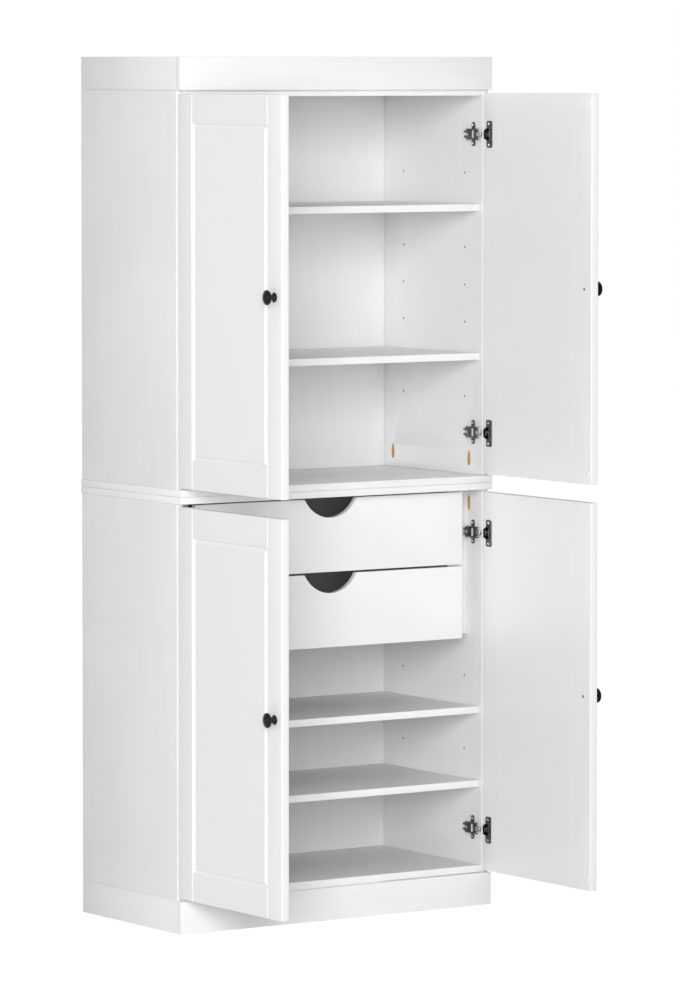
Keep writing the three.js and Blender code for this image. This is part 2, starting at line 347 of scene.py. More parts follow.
def laminate_group():
    """Printed melamine: faint pores drawn out along the board, slow clouds and tiny dimples."""
    group, given, out = new_group(
        "laminate skin",
        [
            ("Place", "NodeSocketVector", (0, 0, 0)),
            ("Grain scale", "NodeSocketVector", (4, 240, 240)),
            ("Tone", "NodeSocketColor", (0.86, 0.86, 0.86, 1)),
            ("Grain tone", "NodeSocketColor", (0.83, 0.83, 0.83, 1)),
            ("Gloss low", "NodeSocketFloat", 0.36),
            ("Gloss high", "NodeSocketFloat", 0.5),
        ],
        [("Colour", "NodeSocketColor"), ("Roughness", "NodeSocketFloat"), ("Height", "NodeSocketFloat")],
    )
    drawn = add_node(
        group, "ShaderNodeVectorMath", {0: given["Place"], 1: given["Grain scale"]}, operation="MULTIPLY"
    )
    grain = add_node(
        group,
        "ShaderNodeTexNoise",
        {"Vector": drawn.outputs[0], "Scale": 1.0, "Detail": 4.0, "Roughness": 0.6},
    )
    cloud = add_node(group, "ShaderNodeTexNoise", {"Vector": given["Place"], "Scale": 5.0, "Detail": 3.0})
    dimple = add_node(group, "ShaderNodeTexNoise", {"Vector": given["Place"], "Scale": 900.0, "Detail": 2.0})
    pores = add_node(
        group, "ShaderNodeMapRange", {"Value": grain.outputs["Fac"], "From Min": 0.42, "From Max": 0.66}
    )
    mix = add_node(
        group,
        "ShaderNodeMix",
        {0: pores.outputs["Result"], 6: given["Tone"], 7: given["Grain tone"]},
        data_type="RGBA",
    )
    soft = add_node(
        group,
        "ShaderNodeMapRange",
        {"Value": cloud.outputs["Fac"], "From Min": 0.3, "From Max": 0.7, "To Min": 0.975, "To Max": 1.0},
    )
    tone = add_node(
        group, "ShaderNodeVectorMath", {0: mix.outputs[2], 1: soft.outputs["Result"]}, operation="MULTIPLY"
    )
    gloss = add_node(
        group,
        "ShaderNodeMapRange",
        {
            "Value": cloud.outputs["Fac"],
            "From Min": 0.3,
            "From Max": 0.7,
            "To Min": given["Gloss low"],
            "To Max": given["Gloss high"],
        },
    )
    height = add_node(group, "ShaderNodeMath", {0: grain.outputs["Fac"], 1: 0.7}, operation="MULTIPLY")
    both = add_node(
        group,
        "ShaderNodeMath",
        {0: dimple.outputs["Fac"], 1: 0.3, 2: height.outputs[0]},
        operation="MULTIPLY_ADD",
    )
    group.links.new(tone.outputs[0], out["Colour"])
    group.links.new(gloss.outputs["Result"], out["Roughness"])
    group.links.new(both.outputs[0], out["Height"])
    return group


def lacquer_group():
    """Sprayed lacquer: orange peel, slow drift of tone, and a hint of settled dust."""
    group, given, out = new_group(
        "lacquer skin",
        [
            ("Place", "NodeSocketVector", (0, 0, 0)),
            ("Peel scale", "NodeSocketFloat", 260.0),
            ("Tone", "NodeSocketColor", (0.9, 0.9, 0.9, 1)),
            ("Drift tone", "NodeSocketColor", (0.88, 0.88, 0.88, 1)),
            ("Gloss low", "NodeSocketFloat", 0.3),
            ("Gloss high", "NodeSocketFloat", 0.42),
        ],
        [("Colour", "NodeSocketColor"), ("Roughness", "NodeSocketFloat"), ("Height", "NodeSocketFloat")],
    )
    peel = add_node(
        group, "ShaderNodeTexNoise", {"Vector": given["Place"], "Scale": given["Peel scale"], "Detail": 3.0}
    )
    drift = add_node(group, "ShaderNodeTexNoise", {"Vector": given["Place"], "Scale": 3.5, "Detail": 4.0})
    mask = add_node(
        group, "ShaderNodeMapRange", {"Value": drift.outputs["Fac"], "From Min": 0.35, "From Max": 0.65}
    )
    mix = add_node(
        group,
        "ShaderNodeMix",
        {0: mask.outputs["Result"], 6: given["Tone"], 7: given["Drift tone"]},
        data_type="RGBA",
    )
    gloss = add_node(
        group,
        "ShaderNodeMapRange",
        {
            "Value": drift.outputs["Fac"],
            "From Min": 0.3,
            "From Max": 0.7,
            "To Min": given["Gloss low"],
            "To Max": given["Gloss high"],
        },
    )
    group.links.new(mix.outputs[2], out["Colour"])
    group.links.new(gloss.outputs["Result"], out["Roughness"])
    group.links.new(peel.outputs["Fac"], out["Height"])
    return group


def metal_group():
    """Drawn or plated metal: fine scratches one way, a cloudy plating and a few darker spots."""
    group, given, out = new_group(
        "metal skin",
        [
            ("Place", "NodeSocketVector", (0, 0, 0)),
            ("Scratch scale", "NodeSocketVector", (60, 900, 900)),
            ("Tone", "NodeSocketColor", (0.6, 0.6, 0.6, 1)),
            ("Dull tone", "NodeSocketColor", (0.5, 0.5, 0.5, 1)),
            ("Gloss low", "NodeSocketFloat", 0.22),
            ("Gloss high", "NodeSocketFloat", 0.38),
        ],
        [("Colour", "NodeSocketColor"), ("Roughness", "NodeSocketFloat"), ("Height", "NodeSocketFloat")],
    )
    drawn = add_node(
        group, "ShaderNodeVectorMath", {0: given["Place"], 1: given["Scratch scale"]}, operation="MULTIPLY"
    )
    scratch = add_node(group, "ShaderNodeTexNoise", {"Vector": drawn.outputs[0], "Scale": 1.0, "Detail": 3.0})
    cloud = add_node(group, "ShaderNodeTexNoise", {"Vector": given["Place"], "Scale": 160.0, "Detail": 3.0})
    mask = add_node(
        group, "ShaderNodeMapRange", {"Value": cloud.outputs["Fac"], "From Min": 0.35, "From Max": 0.68}
    )
    mix = add_node(
        group,
        "ShaderNodeMix",
        {0: mask.outputs["Result"], 6: given["Tone"], 7: given["Dull tone"]},
        data_type="RGBA",
    )
    gloss = add_node(
        group,
        "ShaderNodeMapRange",
        {
            "Value": scratch.outputs["Fac"],
            "From Min": 0.3,
            "From Max": 0.7,
            "To Min": given["Gloss low"],
            "To Max": given["Gloss high"],
        },
    )
    group.links.new(mix.outputs[2], out["Colour"])
    group.links.new(gloss.outputs["Result"], out["Roughness"])
    group.links.new(scratch.outputs["Fac"], out["Height"])
    return group


def fibre_group():
    """Raw pressed wood: short pale and dark chips."""
    group, given, out = new_group(
        "raw fibre",
        [
            ("Place", "NodeSocketVector", (0, 0, 0)),
            ("Chip scale", "NodeSocketFloat", 900.0),
            ("Tone", "NodeSocketColor", (0.62, 0.38, 0.16, 1)),
            ("Chip tone", "NodeSocketColor", (0.4, 0.2, 0.07, 1)),
            ("Gloss low", "NodeSocketFloat", 0.75),
            ("Gloss high", "NodeSocketFloat", 0.95),
        ],
        [("Colour", "NodeSocketColor"), ("Roughness", "NodeSocketFloat"), ("Height", "NodeSocketFloat")],
    )
    chips = add_node(group, "ShaderNodeTexVoronoi", {"Vector": given["Place"], "Scale": given["Chip scale"]})
    grit = add_node(group, "ShaderNodeTexNoise", {"Vector": given["Place"], "Scale": 1500.0, "Detail": 3.0})
    mix = add_node(
        group,
        "ShaderNodeMix",
        {0: chips.outputs["Distance"], 6: given["Tone"], 7: given["Chip tone"]},
        data_type="RGBA",
    )
    gloss = blend_value(group, given["Gloss low"], given["Gloss high"], grit.outputs["Fac"])
    group.links.new(mix.outputs[2], out["Colour"])
    group.links.new(gloss, out["Roughness"])
    group.links.new(grit.outputs["Fac"], out["Height"])
    return group


LAMINATE, LACQUER, METAL, FIBRE = laminate_group(), lacquer_group(), metal_group(), fibre_group()


def finish_of(name, skin, bump, depth, sockets, metallic=0.0, coat=0.0, specular=0.5):
    """A material: one skin group feeding a Principled shader, with its height through a Bump node."""
    material = bpy.data.materials.new(name)
    material.use_nodes = True
    tree = material.node_tree
    shader = tree.nodes["Principled BSDF"]
    place = tree.nodes.new("ShaderNodeTexCoord").outputs["Object"]
    group = add_node(tree, "ShaderNodeGroup", node_tree=skin)
    tree.links.new(place, group.inputs["Place"])
    for socket, value in sockets.items():
        group.inputs[socket].default_value = value
    relief = add_node(
        tree, "ShaderNodeBump", {"Strength": bump, "Distance": depth, "Height": group.outputs["Height"]}
    )
    tree.links.new(group.outputs["Colour"], shader.inputs["Base Color"])
    tree.links.new(group.outputs["Roughness"], shader.inputs["Roughness"])
    tree.links.new(relief.outputs["Normal"], shader.inputs["Normal"])
    shader.inputs["Metallic"].default_value = metallic
    shader.inputs["Coat Weight"].default_value = coat
    shader.inputs["Specular IOR Level"].default_value = specular
    return material


def grey(value, warm=0.0):
    return (value * (1 + warm), value, value * (1 - warm), 1)


def gloss(low, high):
    return {"Gloss low": low, "Gloss high": high}


def tones(first, second):
    return {"Tone": first, "Grain tone": second}


upright_board = finish_of(
    "white laminate, grain upright", LAMINATE, 0.25, 0.0002,
    {"Grain scale": (260, 260, 5), **tones(grey(0.925), grey(0.9)), **gloss(0.38, 0.52)},
)
level_board = finish_of(
    "white laminate, grain level", LAMINATE, 0.25, 0.0002,
    {"Grain scale": (5, 260, 260), **tones(grey(0.925), grey(0.9)), **gloss(0.38, 0.52)},
)
# Greyer than the other boards: painted shade on the skirt returns, which stand out into more light than the
# case sides.
return_board_painted_shade = finish_of(
    "white laminate, skirt return, greyed as painted shade", LAMINATE, 0.25, 0.0002,
    {"Grain scale": (5, 260, 260), **tones(grey(0.86), grey(0.84)), **gloss(0.42, 0.55)},
)
edge_band = finish_of(
    "white edge band", LAMINATE, 0.12, 0.0001,
    {"Grain scale": (60, 60, 60), **tones(grey(0.93), grey(0.92)), **gloss(0.3, 0.4)},
)
rail_edge = finish_of(
    "white edge band, grain level", LAMINATE, 0.3, 0.0002,
    {"Grain scale": (3, 420, 420), **tones(grey(0.93), grey(0.87)), **gloss(0.36, 0.48)},
)
door_lacquer = finish_of(
    "white door lacquer", LACQUER, 0.12, 0.00012,
    {"Tone": grey(0.93), "Drift tone": grey(0.92), **gloss(0.34, 0.44)}, coat=0.1,
)
drawer_lacquer = finish_of(
    "white drawer lacquer", LACQUER, 0.1, 0.0001,
    {"Peel scale": 320.0, "Tone": grey(0.88), "Drift tone": grey(0.87), **gloss(0.3, 0.42)},
)
# Mid-grey drawer box and floor: painted shade for the dark inside of the shut drawers, seen through the
# finger cut-outs.
drawer_painted_shade_lining = finish_of(
    "drawer box lacquer, greyed as painted shade", LACQUER, 0.1, 0.0001,
    {"Peel scale": 320.0, "Tone": grey(0.6), "Drift tone": grey(0.57), **gloss(0.4, 0.52)},
)
drawer_painted_shade_floor = finish_of(
    "drawer floor sheet, greyed as painted shade", LAMINATE, 0.3, 0.0002,
    {"Grain scale": (12, 320, 320), **tones(grey(0.6), grey(0.56)), **gloss(0.5, 0.6)},
)
backing_sheet = finish_of(
    "white backing sheet", LAMINATE, 0.35, 0.0003,
    {"Grain scale": (320, 320, 12), **tones(grey(0.9), grey(0.875)), **gloss(0.5, 0.62)},
)
raw_wood = finish_of(
    "raw pressed wood", FIBRE, 0.6, 0.0004,
    {"Tone": (0.66, 0.40, 0.15, 1), "Chip tone": (0.42, 0.21, 0.07, 1)},
)
smoked_nickel = finish_of(
    "smoked nickel", METAL, 0.3, 0.0001,
    {"Tone": grey(0.2), "Dull tone": grey(0.12), **gloss(0.24, 0.42)}, metallic=1.0,
)
bright_nickel = finish_of(
    "bright nickel", METAL, 0.2, 0.0001,
    {"Tone": grey(0.72), "Dull tone": grey(0.6), **gloss(0.18, 0.3)}, metallic=1.0,
)
# Near-black cup and fork legs: painted shade for the dark hollow of the hinge cup.
black_cup_painted_shade = finish_of(
    "near-black cup, painted shade", METAL, 0.3, 0.0001,
    {"Tone": grey(0.012), "Dull tone": grey(0.008), **gloss(0.3, 0.5)}, metallic=0.6, specular=0.3,
)
dark_bronze = finish_of(
    "dark bronze",
    METAL,
    0.25,
    0.0001,
    {
        "Scratch scale": (500, 500, 500),
        "Tone": grey(0.016, 0.12),
        "Dull tone": grey(0.008, 0.2),
        **gloss(0.22, 0.38),
    },
    metallic=0.7,
    coat=0.3,
)
runner_paint = finish_of(
    "white powder coat", LACQUER, 0.35, 0.0002,
    {"Peel scale": 900.0, "Tone": grey(0.8), "Drift tone": grey(0.77), **gloss(0.35, 0.5)},
)
clear_pad = finish_of(
    "milky bumper", LACQUER, 0.2, 0.0001,
    {"Tone": grey(0.62, 0.02), "Drift tone": grey(0.56, 0.02), **gloss(0.25, 0.35)},
)
white_pad = finish_of(
    "white bumper", LACQUER, 0.2, 0.0001,
    {"Tone": grey(0.88), "Drift tone": grey(0.86), **gloss(0.5, 0.6)},
)


def floor_paper_finish():
    """White paper that the camera sees run into the white room without a shadow or an edge."""
    material = finish_of(
        "white floor paper", LACQUER, 0.05, 0.0005,
        {"Peel scale": 40.0, "Tone": grey(0.8), "Drift tone": grey(0.79), **gloss(0.8, 0.9)}, specular=0.1,
    )
    tree = material.node_tree
    paper = tree.nodes["Principled BSDF"]
    glow = add_node(tree, "ShaderNodeEmission", {"Color": (1, 1, 1, 1), "Strength": FLOOR_GLOW})
    veiled = add_node(tree, "ShaderNodeMixShader", {0: FLOOR_VEIL, 1: paper.outputs[0], 2: glow.outputs[0]})
    path = add_node(tree, "ShaderNodeLightPath")
    either = add_node(
        tree,
        "ShaderNodeMixShader",
        {0: path.outputs["Is Camera Ray"], 1: paper.outputs[0], 2: veiled.outputs[0]},
    )
    tree.links.new(either.outputs[0], tree.nodes["Material Output"].inputs["Surface"])
    return material


FLOOR_GLOW = 1.08
FLOOR_VEIL = 0.93
floor_paper = floor_paper_finish()

add_camera()
add_studio()


# ---------------------------------------------------------------- small parts, made once and copied


def screw_head(name, radius, height):
    """A domed cross-recess screw head, its foot at the origin and its dome along +Z."""
    head = turned(
        name,
        [
            (radius, 0),
            (radius, height * 0.3),
            (radius * 0.86, height * 0.72),
            (radius * 0.5, height * 0.96),
            (radius * 0.12, height),
        ],
        24,
    )
    arm, wide = radius * 0.55, radius * 0.13
    for long, short in ((arm, wide), (wide, arm)):
        carve(head, block("cross", (-long, -short, height * 0.35), (long, short, height * 1.2)))
    return head


def on_axis(place, way):
    """A place whose Z axis looks along one of the row's directions."""
    return Matrix.Translation(place) @ Vector(way).to_track_quat("Z", "Y").to_matrix().to_4x4()


plate_screw = coat(screw_head("plate screw", 3.4 * MM, 2.0 * MM), bright_nickel)


# ---------------------------------------------------------------- boards


def bare_board(name, node, edge=0.5 * MM):
    """A board's blank at its place, its edges broken."""
    piece = block(name, *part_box(node))
    edit(piece)
    bpy.ops.mesh.select_all(action="SELECT")
    bpy.ops.mesh.bevel(offset=edge, segments=2, affect="EDGES")
    done()
    return piece


def band_front(piece, band):
    """Parts the front millimetre of a board as its glued-on edge band, which is material 1."""
    front = min(v.co.y for v in piece.data.vertices) + 1.0 * MM
    edit(piece)
    bpy.ops.mesh.select_all(action="SELECT")
    bpy.ops.mesh.bisect(plane_co=(0, front, 0), plane_no=(0, 1, 0))
    done()
    piece.data.materials.append(band)
    coat_faces(piece, 1, lambda middle, normal: middle.y < front)


def board(name, node, body="cabinet", slot="white_board", face=None, band=None, edge=0.5 * MM):
    piece = coat(bare_board(name, node, edge), face or level_board)
    if band:
        band_front(piece, band)
    return hand_over(piece, body, slot, node)


PIN_ROWS = {
    "upper": (1589.5, 1508, 1427.5, 1346.5, 1265.5, 1184.5, 1103.5), "lower": (494, 413.5, 333, 252.5)
}
PIN_COLUMNS = (73.5, 307.5)
PIN_HOLE = 2.5
PIN_HOLE_DEPTH = 9
POCKETS = {"upper": 969.5, "lower": 872}
POCKET_COLUMNS = (57, 348)
POCKET_SLOPE = 19
POCKET_SEAT = 16
POCKET_RADIUS = 5.4
POCKET_DRILL = 60  # length of the drill, of which POCKET_SEAT goes past the face


def pin_holes(level, side):
    """The drills for one side panel's rows of shelf-pin holes."""
    face = side * PANEL_FACE
    drills = [
        drum("drill", PIN_HOLE * MM, (face, y * MM, z * MM), 2 * PIN_HOLE_DEPTH * MM, "X", 20)
        for y in PIN_COLUMNS
        for z in PIN_ROWS[level]
    ]
    return coat(together("drills", *drills), raw_wood)


def pocket_cutters(level, side):
    """Slanted drills that leave long oval pockets for the screws that tie the case together."""
    face = side * PANEL_FACE
    down = 1 if level == "upper" else -1
    lean = -side * down * math.radians(POCKET_SLOPE)
    drills = []
    for y in POCKET_COLUMNS:
        drill = drum("drill", POCKET_RADIUS * MM, (0, 0, 0), POCKET_DRILL * MM, "Z", 32)
        place = Matrix.Translation((face, y * MM, POCKETS[level] * MM))
        sunk = Matrix.Translation((0, 0, down * (POCKET_DRILL / 2 - POCKET_SEAT) * MM))
        drills.append(placed(drill, place @ Matrix.Rotation(lean, 4, "Y") @ sunk))
    return coat(together("pocket drills", *drills), raw_wood)


def side_panel(level, word, side):
    piece = coat(bare_board(f"{level}_side_panel_{word}", f"{level}_side_{word}"), upright_board)
    band_front(piece, edge_band)
    carve(piece, pin_holes(level, side), pocket_cutters(level, side))
    return hand_over(piece, "cabinet", "white_board", f"{level}_side_{word}")


for level in LEVELS:
    for word, side in SIDES:
        side_panel(level, word, side)
    board(f"{level}_back_sheet", f"{level}_back_panel", slot="backing", face=backing_sheet, edge=0.3 * MM)
    for number in (1, 2):
        board(f"{level}_adjustable_shelf_{number}", f"{level}_shelf_{number}", band=edge_band, edge=0.6 * MM)

board("lower_floor_board", "lower_bottom_board", band=edge_band)
board("middle_rail_lower_board", "lower_top_board", band=rail_edge, edge=1.0 * MM)
board("middle_rail_upper_board", "upper_bottom_board", band=rail_edge, edge=1.0 * MM)
board("upper_ceiling_board", "upper_top_board", band=edge_band)
for skirt in ("plinth", "crown"):
    board(f"{skirt}_front_board", f"{skirt}_front", edge=0.8 * MM)
    for word, side in SIDES:
        # The skirt returns take the greyed laminate, a painted shade.
        board(f"{skirt}_return_{word}", f"{skirt}_{word}", face=return_board_painted_shade, edge=0.5 * MM)
for word, side in SIDES:
    board(f"drawer_packing_{word}", f"drawer_spacer_{word}", face=upright_board, band=edge_band)


def shelf_pins(level, number):
    """The four half-cut pins that carry one shelf."""
    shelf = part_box(f"{level}_shelf_{number}")[0].z
    row = min(PIN_ROWS[level], key=lambda z: abs(z * MM - shelf)) * MM
    pins = []
    for word, side in SIDES:
        for y in PIN_COLUMNS:
            pin = drum("pin", 2.35 * MM, (side * (PANEL_FACE + 0.5 * MM), y * MM, row), 15 * MM, "X", 24)
            ease(pin, 0.35 * MM)
            rest = shelf - 0.15 * MM
            near, far = sorted((side * (PANEL_FACE - 12 * MM), side * (PANEL_FACE - 0.2 * MM)))
            carve(pin, block("flat", (near, y * MM - 4 * MM, rest), (far, y * MM + 4 * MM, rest + 8 * MM)))
            pins.append(pin)
    piece = coat(together(f"{level}_shelf_{number}_pins", *pins), bright_nickel)
    return hand_over(piece, "cabinet", "nickel")


for level in LEVELS:
    for number in (1, 2):
        shelf_pins(level, number)


# ---------------------------------------------------------------- doors

DOOR_EDGE = 3.5  # from the hinge axis to the door's hinge edge, millimetres
DOOR_FACE = 8.5  # from the hinge axis to the door's outer face
PIVOT = (391, -4)
DOOR_SIZE = (392, 18, 824)
STILE, RAIL = 53, 61
HINGE_FROM_END = 89
CUP_FROM_EDGE = 15.5
CUP_TO_FLANGE = 7
KNOB_FROM_EDGE = 26.5
KNOB_BORE, SCREW_WELL = 2.5, 3.6
JOINT_LINE = 0.95  # half the side of the bar whose corner cuts the V beside the panel
INNER_LINE = 0.25
INNER_LINE_PLACE = (65, 60)  # from the door's upright edges and from its ends
BORE_RADIUS, BORE_LENGTH = 13.8, 23.6
PAD_FROM_EDGE, PAD_FROM_END = 12.6, 22
DIMPLE_RADIUS = 1.6
DIMPLE_HEIGHTS = (58, 283, 542, 768)

# Each profile below is in millimetres.
DOOR_PROFILE = (  # (inwards, outwards) steps from the frame down the groove and up to the field
    (0.3, -0.5), (0.5, -0.3), (2.2, -3.0), (0.6, -0.6), (1.0, -0.2), (0.8, 0.4), (4.2, 2.9), (0.5, 0.2),
    (0.4, -0.5), (0.7, 0.5), (0.3, 0.5),
)
KNOB_PROFILE = (  # (radius, height): foot, neck, underside of the head, rim and crown
    (9.2, 0), (10, 0.5), (10, 1.5), (9.4, 2.1), (7.8, 3.0), (6.5, 4.4), (5.9, 6.4), (5.7, 9.0),
    (6.1, 11.4), (7.6, 13.6), (10.6, 15.2), (13.6, 16.2), (15.0, 17.0), (15.5, 18.0), (15.3, 19.0),
    (14.5, 19.8), (13.3, 20.2), (12.7, 20.2), (12.1, 20.8), (10, 22.0), (7, 23.1), (3.5, 23.8), (0.6, 24.0),
)
CUP_PROFILE = (  # (radius, height): outside, rim and hollow
    (12.6, 0), (13.5, 0.9), (13.5, 11.7), (13.5, 13.0), (13.0, 13.4), (12.4, 13.4), (12.0, 13.0),
    (11.9, 2.2), (11.2, 1.5),
)
BUMPER_PROFILE = ((4, 0), (4, 0.7), (3.4, 1.3), (2, 1.7), (0.3, 1.8))  # (radius, height)
CUP_DEPTH = 11.5
FLANGE_WIDTH, FLANGE_HALF_HEIGHT = 20, 29
FLANGE_SCREWS = (-22.5, 22.5)
PLATE_SCREWS = (-19.5, 19.5)


def mm(*values):
    return Vector(v * MM for v in values)


def in_mm(profile):
    return [(radius * MM, height * MM) for radius, height in profile]


def v_bar(length, middle, along, half):
    """A square bar lying on its corner, which cuts a V groove."""
    bar = block("bar", mm(-half, -half, -length / 2), mm(half, half, length / 2))
    placed(bar, Matrix.Rotation(math.pi / 4, 4, "Z"))
    if along == "X":
        placed(bar, Matrix.Rotation(math.pi / 2, 4, "Y"))
    return placed(bar, Matrix.Translation(mm(*middle)))


def door_model():
    """A door: its hinge axis is Z, its outer face looks along -Y and its free edge lies at +X."""
    width, thickness, height = DOOR_SIZE
    near, far = -DOOR_EDGE, width - DOOR_EDGE
    outer, inner = -DOOR_FACE, thickness - DOOR_FACE
    door = coat(block("door model", mm(near, outer, 0), mm(far, inner, height)), door_lacquer)
    edit(door)
    bpy.ops.mesh.select_all(action="SELECT")
    bpy.ops.mesh.bevel(offset=1.6 * MM, segments=4, affect="EDGES")
    for place, way in (
        ((near + STILE, 0, 0), (1, 0, 0)), ((far - STILE, 0, 0), (1, 0, 0)),
        ((0, 0, RAIL), (0, 0, 1)), ((0, 0, height - RAIL), (0, 0, 1)),
    ):
        bpy.ops.mesh.select_all(action="SELECT")
        bpy.ops.mesh.bisect(plane_co=mm(*place), plane_no=way)
    pick_faces(
        lambda middle, normal: normal.y < -0.99
        and (near + STILE) * MM < middle.x < (far - STILE) * MM
        and RAIL * MM < middle.z < (height - RAIL) * MM
    )
    for step, drop in DOOR_PROFILE:
        bpy.ops.mesh.inset(thickness=step * MM, depth=drop * MM)
    done()
    for x in (near + STILE, far - STILE):
        carve(door, v_bar(height + 4, (x, outer - 0.1, height / 2), "Z", JOINT_LINE))
    in_from_edge, in_from_end = INNER_LINE_PLACE
    for x in (near + in_from_edge, far - in_from_edge):
        carve(door, v_bar(height - 2 * in_from_end, (x, inner + 0.1, height / 2), "Z", INNER_LINE))
    for z in (in_from_end, height - in_from_end):
        carve(door, v_bar(width - 2 * in_from_edge, ((near + far) / 2, inner + 0.1, z), "X", INNER_LINE))
    for z in (HINGE_FROM_END, height - HINGE_FROM_END):
        bore = drum(
            "bore", BORE_RADIUS * MM, mm(CUP_FROM_EDGE - DOOR_EDGE, inner, z), BORE_LENGTH * MM, "Y", 64
        )
        carve(door, coat(bore, raw_wood))
    knob_bore = drum("bore", KNOB_BORE * MM, mm(far - KNOB_FROM_EDGE, 0, height / 2), 40 * MM, "Y", 24)
    screw_well = drum("bore", SCREW_WELL * MM, mm(far - KNOB_FROM_EDGE, inner, height / 2), 4 * MM, "Y", 32)
    carve(door, coat(knob_bore, raw_wood), coat(screw_well, door_lacquer))
    for z in DIMPLE_HEIGHTS:
        dimple = drum(
            "dimple", DIMPLE_RADIUS * MM, mm(far - PAD_FROM_EDGE, inner, z), DIMPLE_RADIUS * MM, "Y", 20
        )
        carve(door, dimple)
    return door


def knob_model():
    """The mushroom knob, its foot at the origin and its face along +Z."""
    return coat(turned("knob model", in_mm(KNOB_PROFILE), 64), dark_bronze)


def cup_model():
    """The door half of a hinge, in the door's frame: cup, flange, fork, pin and strike plate."""
    inner = DOOR_SIZE[1] - DOOR_FACE
    centre, flange_middle = CUP_FROM_EDGE - DOOR_EDGE, CUP_FROM_EDGE - DOOR_EDGE + CUP_TO_FLANGE
    cup = turned("cup", in_mm(CUP_PROFILE), 64)
    placed(cup, Matrix.Translation(mm(centre, inner - CUP_DEPTH, 0)) @ Matrix.Rotation(-math.pi / 2, 4, "X"))
    # The cup and the fork legs below are near-black, a painted shade for the cup's dark hollow.
    coat(cup, black_cup_painted_shade)
    near, far = flange_middle - FLANGE_WIDTH / 2, flange_middle + FLANGE_WIDTH / 2
    flange = block(
        "flange", mm(near, inner + 0.3, -FLANGE_HALF_HEIGHT), mm(far, inner + 1.8, FLANGE_HALF_HEIGHT)
    )
    round_corners(flange, "Y", 4.2 * MM, 6)
    carve(flange, drum("mouth", 12.1 * MM, mm(centre, inner, 0), 12 * MM, "Y", 64))
    ease(flange, 0.35 * MM)
    coat(flange, smoked_nickel)
    screws = []
    for z in FLANGE_SCREWS:
        seat = on_axis(mm(flange_middle, inner + 1.6, z), (0, 1, 0))
        screws.append(placed(copy_of(plate_screw, "screw"), seat))
    parts = []
    for sign in (-1, 1):
        leg = block("leg", mm(7.8, inner - 8, sign * 11 - 2.0), mm(10.4, inner + 8.0, sign * 11 + 2.0))
        edit(leg)
        pick_faces(lambda middle, normal: normal.y > 0.9)
        bpy.ops.transform.translate(value=(0, 0, -sign * 3.8 * MM))
        done()
        parts.append(coat(ease(leg, 0.4 * MM), black_cup_painted_shade))
    strike = ease(block("strike", mm(7.8, inner - 8, -5.2), mm(8.8, inner + 2.6, 5.2)), 0.3 * MM)
    parts.append(coat(strike, bright_nickel))
    parts.append(coat(drum("pin", 1.5 * MM, mm(12.4, inner - 4, 0), 20 * MM, "Z", 24), smoked_nickel))
    return together("cup model", cup, flange, *parts, *screws)


def arm_model():
    """The case half of a hinge: X runs inwards from the panel's face, Y backwards from the hinge axis."""
    wings = block("wings", mm(0.3, 37.5, -26), mm(2.6, 48.5, 26))
    round_corners(wings, "X", 5.2 * MM, 6)
    foot = block("foot", mm(0.3, 27, -9), mm(3.4, 66, 9))
    round_corners(foot, "X", 3 * MM)
    plate = weld(wings, foot)
    ease(plate, 0.3 * MM)
    shell = block("arm", mm(4.0, 18, -12), mm(12.3, 57, 12))
    round_corners(shell, "Y", 2.2 * MM, 5)
    carve(shell, block("hollow", mm(2.0, 16, -10.4), mm(10.9, 54.5, 10.4)))
    carve(shell, round_corners(block("slot", mm(8, 27.5, -8.6), mm(14, 35.5, 8.6)), "X", 1.5 * MM))
    ease(shell, 0.45 * MM)
    ribs = []
    for sign in (-1, 1):
        prong = block("prong", mm(4.4, 54, sign * 5.4 - 2.2), mm(10.2, 68, sign * 5.4 + 2.2))
        ribs.append(ease(prong, 0.8 * MM, 3))
    ribs.append(ease(block("lever", mm(4.4, 52, -2.4), mm(8.8, 61, 2.4)), 0.6 * MM))
    ribs.append(ease(block("cam", mm(8.4, 38.5, -6), mm(12.9, 48, 6)), 0.7 * MM))
    for body in (plate, shell, *ribs):
        coat(body, smoked_nickel)
    screws = [
        placed(copy_of(plate_screw, "screw"), on_axis(mm(2.5, 43, z), (1, 0, 0))) for z in PLATE_SCREWS
    ]
    shallow = Matrix.Scale(0.45, 4, (0, 0, 1))
    screws.append(placed(copy_of(plate_screw, "adjuster"), on_axis(mm(12.2, 52.4, 0), (1, 0, 0)) @ shallow))
    link = block("link", mm(8.6, 1.2, -4.6), mm(13.4, 17.6, 4.6))
    round_corners(link, "Z", 1.6 * MM, 5)
    ease(link, 0.5 * MM)
    root = block("link root", mm(6.4, 14, -4.4), mm(10.6, 26, 4.4))
    # A white plate behind the arm's slot: a painted highlight for the bright glint seen in the slot.
    slot_highlight_plate = block("slot highlight plate", mm(9.6, 26.8, -9.8), mm(10.8, 37.2, 9.8))
    pin = drum("link pin", 1.6 * MM, mm(8.0, 25, 0), 20.4 * MM, "Z", 20)
    coat(slot_highlight_plate, runner_paint)
    for body in (link, root, pin):
        coat(body, bright_nickel)
    return together("arm model", plate, shell, *ribs, *screws, link, root, slot_highlight_plate, pin)


door, knob, cup, arm = door_model(), knob_model(), cup_model(), arm_model()
bumper = coat(turned("bumper", in_mm(BUMPER_PROFILE), 24), white_pad)


